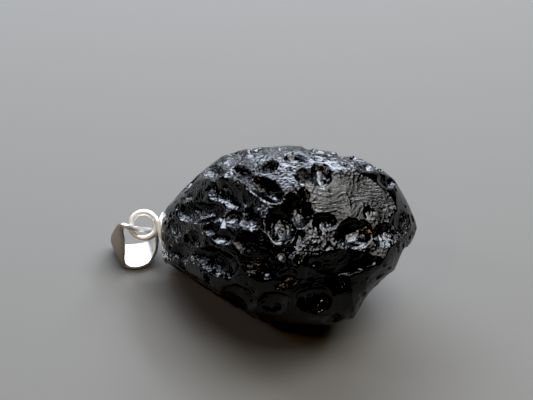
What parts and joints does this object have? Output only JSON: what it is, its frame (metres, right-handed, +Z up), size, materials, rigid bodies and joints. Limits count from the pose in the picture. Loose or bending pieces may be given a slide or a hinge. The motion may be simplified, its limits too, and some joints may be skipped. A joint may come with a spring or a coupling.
{
  "type": "tektite pendant",
  "caption": "Pitted black natural-glass stone lying on its side, with a silver end cap, a soldered ring and a loose folded bail for a chain.",
  "frame": {"origin": "on the small flat spot that the stone rests on, under its middle", "axes": "+X from the silver end along the stone to its pointed tip, -Y towards the side that shows, +Z up"},
  "size_m": [0.0386, 0.0242, 0.0202],
  "materials": {
    "tektite_glass": "glossy, pitted, nearly opaque black",
    "silver_cap": "polished sterling silver",
    "silver_sheet": "polished sterling silver sheet"
  },
  "bodies": {
    "pendant": {"tektite_stone": "tektite_glass", "end_cap": "silver_cap"},
    "bail": {"bail": "silver_sheet"}
  },
  "joints": [
    {"name": "bail_swing", "type": "hinge", "parent": "pendant", "child": "bail", "pos_m": [-0.02065, 0.00682, 0.00563], "axis": [0, 0.6428, 0.766], "range_deg": [-10, 80]}
  ]
}
